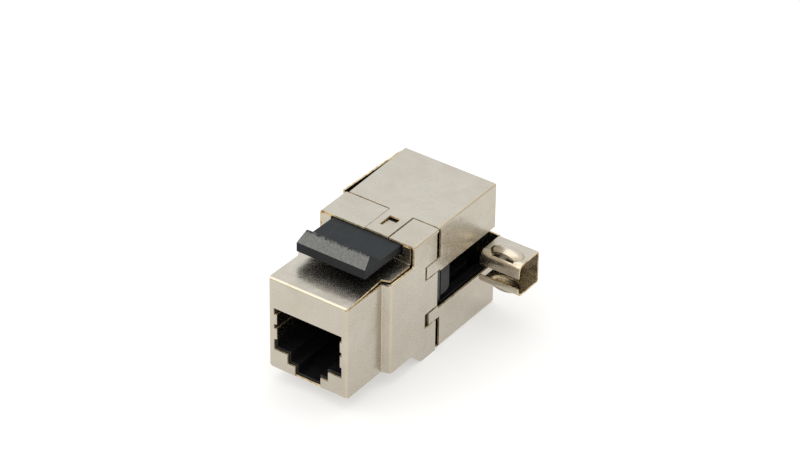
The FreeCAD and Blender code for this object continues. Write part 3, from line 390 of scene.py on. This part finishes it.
nickel = {
    "tone": (0.560, 0.517, 0.442),
    "toneDeep": (0.506, 0.459, 0.382),
    "roughness": (0.22, 0.29),
    "paintedReflectionTone": (0.92, 0.82, 0.62),  # painted reflected light, brighter and warmer, for faces that look at another part of the same sheet
    "paintedReflectionFrom": 1.5,                 # mm, nearest and farthest that part may be
    "paintedReflectionTo": 8.0,
    "rubbed": (0.62, 0.51, 0.35),      # where folds are rubbed through to the yellow core
    "foldFacet": 0.22,                 # mm, facets narrower than this belong to a fold
    "foldSlant": (0.005, 0.29),        # slant of those facets beside the flats and at 45 degrees
    "rubbedRise": 0.6,                 # below 1 the rubbing grows quickly at first
    "cutTone": (0.77, 0.62, 0.37),     # yellow core of the sheet at its cut edges
    "cutToneDeep": (0.36, 0.22, 0.10),
    "cutRoughness": (0.36, 0.54),
    "cutMetallic": 0.5,                # the torn face of the cut is half dull
    "cutDepth": 0.5,                   # mm, a face with more metal behind it than this is a cut edge
    "edgeRound": 0.035,                # mm, rounding of the cut edges
    "roundAbove": 40,                  # degrees, gentler edges aren't rounded
}


def scratches(tree, turn, spacing, length, share):
    # hair lines along one direction: the narrow middle band of a drawn-out noise
    turned = addNode(tree, "ShaderNodeVectorRotate", rotation_type="EULER_XYZ")
    turned.inputs["Rotation"].default_value = turn
    plug(tree, millimetreCoords(tree), turned.inputs["Vector"])
    drawn = addNode(tree, "ShaderNodeVectorMath", operation="MULTIPLY")
    drawn.inputs[1].default_value = (spacing, length, spacing)
    plug(tree, turned.outputs["Vector"], drawn.inputs[0])
    lines = noise(tree, drawn.outputs["Vector"], 1.0, detail=1, rough=0.4)
    return middleBand(tree, lines, 0.0, share)


def satinNickel():
    mat, tree = newMaterial("satinNickel")
    coords = millimetreCoords(tree)
    clouds = noise(tree, coords, 0.16, detail=3, rough=0.55, warp=0.5)
    stains = noise(tree, coords, 0.75, detail=4, rough=0.6, warp=0.8)
    fine = noise(tree, coords, 5.0)
    specks = noise(tree, coords, 26.0, detail=1)
    grain = drawnNoise(tree, (5.0, 2.5, 5.0), detail=3, rough=0.6)
    waves = noise(tree, coords, 0.24, rough=0.45, warp=0.3)

    # soft clouds, faint stains and a few pits in the plating
    colour = ramp(tree, clouds, (0.30, nickel["toneDeep"]), (0.68, nickel["tone"]))
    stained = remap(tree, stains, 0.56, 0.76, 0.0, 0.10)
    colour = blendColours(tree, stained, colour, nickel["toneDeep"], "MULTIPLY")
    pits = remap(tree, specks, 0.72, 0.78, 0.0, 0.25)
    colour = blendColours(tree, pits, colour, nickel["cutToneDeep"])

    # painted reflected light, warm and bright, where a face looks at another part of the same sheet, and
    # yellow on its rubbed folds
    patches = remap(tree, stains, 0.2, 0.8, 0.7, 1.0)
    paintedReflectionShare = maths(tree, "MULTIPLY", faceShare(tree, "paintedReflection"), patches)
    colour = blendColours(tree, paintedReflectionShare, colour, nickel["paintedReflectionTone"])
    patches = remap(tree, fine, 0.3, 0.6, 0.35, 0.9)
    rubbedShare = maths(tree, "MULTIPLY", faceShare(tree, "rubbed"), patches)
    colour = blendColours(tree, rubbedShare, colour, nickel["rubbed"])

    # hair scratches that come and go in patches
    hairs = maths(tree, "MAXIMUM",
                  scratches(tree, (0.2, 0.1, 0.5), spacing=2.0, length=0.09, share=0.016),
                  scratches(tree, (0.1, 0.3, -0.9), spacing=1.6, length=0.07, share=0.014))
    hairs = maths(tree, "MULTIPLY", hairs, remap(tree, stains, 0.40, 0.58, 0.0, 1.0))
    rough = remap(tree, grain, 0.3, 0.7, *nickel["roughness"])
    rough = maths(tree, "ADD", rough, maths(tree, "MULTIPLY", hairs, 0.12))

    # the sheet is a little wavy, with fine grain on top
    height = maths(tree, "ADD", maths(tree, "MULTIPLY", grain, 0.6), fine)
    height = maths(tree, "SUBTRACT", height, maths(tree, "MULTIPLY", hairs, 0.6))
    normal = bump(tree, waves, strength=0.30, distance=0.35)
    normal = bump(tree, height, strength=0.03, distance=0.006, normal=normal)
    finishShader(tree, colour, rough, normal, metallic=1.0)
    return mat


def rawCutEdge():
    mat, tree = newMaterial("rawCutEdge")
    coords = millimetreCoords(tree)
    patches = noise(tree, coords, 0.9, detail=4, rough=0.6, warp=0.6)
    streaks = noise(tree, coords, 14.0, detail=3, rough=0.7)
    colour = ramp(tree, patches, (0.36, nickel["cutToneDeep"]), (0.56, nickel["cutTone"]))
    rough = remap(tree, streaks, 0.3, 0.7, *nickel["cutRoughness"])
    normal = bump(tree, streaks, strength=0.35, distance=0.02)
    finishShader(tree, colour, rough, normal, metallic=nickel["cutMetallic"])
    return mat


def dressSheet(nodeName, body, pieceName, mats):
    # the second finish goes on the cut edges, which have more metal straight behind them
    bm = copyNode(nodeName)
    bmesh.ops.triangulate(bm, faces=bm.faces)
    bm.normal_update()
    solid = BVHTree.FromBMesh(bm)
    for face in bm.faces:
        face.material_index = int(reach(solid, face, -face.normal) > nickel["cutDepth"])
    joinFlats(bm, delimit={"MATERIAL"})
    shadeSoftly(bm)
    rubbed = bm.faces.layers.float.new("rubbed")
    paintedReflection = bm.faces.layers.float.new("paintedReflection")
    leastSlant, mostSlant = nickel["foldSlant"]
    for face in bm.faces:
        width = face.calc_area() / max(edge.calc_length() for edge in face.edges)
        slant = 1 - max(abs(part) for part in face.normal)
        # faces that look at another part of the sheet close by are marked for the painted reflected
        # light
        ahead = reach(solid, face, face.normal)
        face[paintedReflection] = float(nickel["paintedReflectionFrom"] < ahead < nickel["paintedReflectionTo"])
        if face.material_index == 0 and width < nickel["foldFacet"] * mm and slant > leastSlant:
            face[rubbed] = min(1.0, (slant / mostSlant) ** nickel["rubbedRise"])
    piece = placePiece(bm, pieceName, body, mats, nodeName)
    roundEdges(piece, nickel)


sheetMats = (satinNickel(), rawCutEdge())
dressSheet("front_shell", "jack", "frontShellSheet", sheetMats)
dressSheet("rear_cover", "rear_cover", "rearCoverSheet", sheetMats)
print("sheets dressed")


# moulded black parts

moulding = {
    "black": (0.005, 0.005, 0.0052),
    "blackLight": (0.010, 0.010, 0.0105),
    "roughness": (0.34, 0.5),
    "gloss": 0.30,                     # specular level
    "edgeRound": 0.06,                 # mm
    "roundAbove": 40,                  # degrees
}

blackParts = {
    "port_housing": "portHousing",
    "contact_carrier": "contactCarrier",
    "idc_block_upper": "upperTerminalBlock",
    "idc_block_lower": "lowerTerminalBlock",
}


def blackPlastic():
    mat, tree = newMaterial("blackPlastic")
    coords = millimetreCoords(tree)
    clouds = noise(tree, coords, 0.5, detail=3)
    flow = drawnNoise(tree, (0.25, 1.6, 1.6), detail=3, rough=0.6, warp=0.8)
    grain = noise(tree, coords, 14.0)
    colour = ramp(tree, mean(tree, clouds, flow), (0.35, moulding["black"]),
                  (0.65, moulding["blackLight"]))
    rough = remap(tree, grain, 0.3, 0.7, *moulding["roughness"])
    normal = bump(tree, flow, strength=0.08, distance=0.05)
    normal = bump(tree, grain, strength=0.25, distance=0.01, normal=normal)
    finishShader(tree, colour, rough, normal, gloss=moulding["gloss"])
    return mat


blackMat = blackPlastic()
for nodeName, pieceName in blackParts.items():
    dressSolid(nodeName, pieceName, blackMat, moulding)
print("black mouldings dressed")


# latch, worn grey along its crest

latchLook = {
    "grey": (0.011, 0.0135, 0.015),
    "greyLight": (0.017, 0.0195, 0.022),
    "scuffDark": (0.114, 0.112, 0.105),
    "scuff": (0.166, 0.163, 0.152),
    "scuffPale": (0.232, 0.225, 0.206),
    "scuffReach": -0.15,               # mm behind the crest where the scuffs end, below 0 in front of it
    "scuffRagged": 3.2,                # mm, how ragged their border is
    "scuffBorder": 0.04,               # mm, half the width over which they fade
    "roughness": (0.36, 0.50),
    "gloss": 0.16,                     # specular level
    "edgeRound": 0.07,                 # mm
    "roundAbove": 20,                  # degrees
    "leastUp": 0.2,                    # parts of the normal of a face that gets scuffed
    "mostSideways": 0.3,
    "leastForward": 0.3,               # only for the slope in front of the crest
}


def latchPlastic(crestPlace):
    mat, tree = newMaterial("latchPlastic")
    coords = millimetreCoords(tree)
    clouds = noise(tree, coords, 0.6, detail=3)
    flow = drawnNoise(tree, (3.2, 0.3, 3.2), detail=3, rough=0.6)
    grain = noise(tree, coords, 12.0)
    blots = noise(tree, coords, 3.5, detail=5, rough=0.65, warp=0.6)
    drag = drawnNoise(tree, (9.0, 1.6, 1.4), detail=4, rough=0.65)
    specks = noise(tree, coords, 7.0, detail=3, rough=0.6)
    base = ramp(tree, mean(tree, clouds, flow), (0.35, latchLook["grey"]),
                (0.65, latchLook["greyLight"]))
    marks = mean(tree, blots, drag)
    marksTone = ramp(tree, marks, (0.38, latchLook["scuffDark"]), (0.50, latchLook["scuff"]),
                     (0.66, latchLook["scuffPale"]))

    # the scuffs end in a ragged line along the crest, with bare spots among them
    split = addNode(tree, "ShaderNodeSeparateXYZ")
    plug(tree, coords, split.inputs["Vector"])
    behind = maths(tree, "SUBTRACT", split.outputs["Y"], crestPlace + latchLook["scuffReach"])
    ragged = maths(tree, "MULTIPLY", maths(tree, "SUBTRACT", marks, 0.5), latchLook["scuffRagged"])
    fade = latchLook["scuffBorder"]
    border = remap(tree, maths(tree, "ADD", behind, ragged), -fade, fade, 1.0, 0.0)
    bare = remap(tree, blots, 0.26, 0.36, 0.3, 1.0)
    cover = maths(tree, "MULTIPLY", faceShare(tree, "scuffed"), maths(tree, "MULTIPLY", border, bare))
    colour = blendColours(tree, cover, base, marksTone)

    rough = remap(tree, grain, 0.3, 0.7, *latchLook["roughness"])
    rough = maths(tree, "ADD", rough, maths(tree, "MULTIPLY", cover, 0.12))
    torn = maths(tree, "MULTIPLY", specks, cover)
    normal = bump(tree, flow, strength=0.08, distance=0.05)
    normal = bump(tree, grain, strength=0.22, distance=0.01, normal=normal)
    normal = bump(tree, torn, strength=0.5, distance=0.03, normal=normal)
    finishShader(tree, colour, rough, normal, gloss=latchLook["gloss"])
    return mat


def dressLatch():
    bm = copyNode("latch")
    scuffed = bm.faces.layers.float.new("scuffed")
    slopePlaces = []
    for face in bm.faces:
        sideways, back, up = face.normal
        if up > latchLook["leastUp"] and abs(sideways) < latchLook["mostSideways"]:
            face[scuffed] = 1.0
            if back < -latchLook["leastForward"]:
                slopePlaces += [vert.co.y for vert in face.verts]
    shadeSoftly(bm)
    mat = latchPlastic(max(slopePlaces) / mm)
    piece = placePiece(bm, "latchTongue", "latch", (mat,), "latch")
    roundEdges(piece, latchLook)


dressLatch()
print("latch dressed")


# gilt springs and tinned terminals, which keep their own meshes

gilt = {
    "deep": (0.66, 0.42, 0.13),
    "tone": (0.80, 0.56, 0.20),
    "roughness": (0.16, 0.30),
    "drawn": (6.0, 0.6, 6.0),          # fineness of the drawing lines across and along the wire
}

tinned = {
    "deep": (0.44, 0.42, 0.39),
    "tone": (0.66, 0.64, 0.60),
    "roughness": (0.26, 0.42),
    "drawn": (5.0, 0.5, 5.0),
}


def platedMetal(name, look):
    mat, tree = newMaterial(name)
    patches = noise(tree, millimetreCoords(tree), 1.4, detail=4, rough=0.6, warp=0.5)
    lines = drawnNoise(tree, look["drawn"], detail=3, rough=0.6)
    colour = ramp(tree, patches, (0.34, look["deep"]), (0.60, look["tone"]))
    rough = remap(tree, lines, 0.3, 0.7, *look["roughness"])
    normal = bump(tree, lines, strength=0.18, distance=0.01)
    finishShader(tree, colour, rough, normal, metallic=1.0)
    return mat


def coat(nodeName, mat):
    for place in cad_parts[nodeName].material_slots:
        place.material = mat


giltMat = platedMetal("giltWire", gilt)
tinMat = platedMetal("tinnedBlade", tinned)
for number in range(1, 9):
    coat(f"contact_spring_{number}", giltMat)
    coat(f"idc_contact_{number}", tinMat)
print("springs and terminals coated")


# circuit board

board = {
    "resist": (0.003, 0.008, 0.006),
    "resistLight": (0.006, 0.016, 0.011),   # over the copper tracks
    "roughness": (0.22, 0.36),
    "edgeRound": 0.03,                      # mm
    "roundAbove": 40,                       # degrees
}


def solderResist():
    mat, tree = newMaterial("solderResist")
    weave = noise(tree, millimetreCoords(tree), 4.0)
    copper = drawnNoise(tree, (0.9, 0.9, 0.35), detail=1, rough=0.3)
    tracks = middleBand(tree, copper, 0.02, 0.035)
    colour = blendColours(tree, tracks, board["resist"], board["resistLight"])
    rough = remap(tree, weave, 0.3, 0.7, *board["roughness"])
    normal = bump(tree, tracks, strength=0.4, distance=0.03)
    normal = bump(tree, weave, strength=0.2, distance=0.01, normal=normal)
    finishShader(tree, colour, rough, normal)
    return mat


dressSolid("circuit_board", "circuitBoard", solderResist(), board)
print("board dressed")
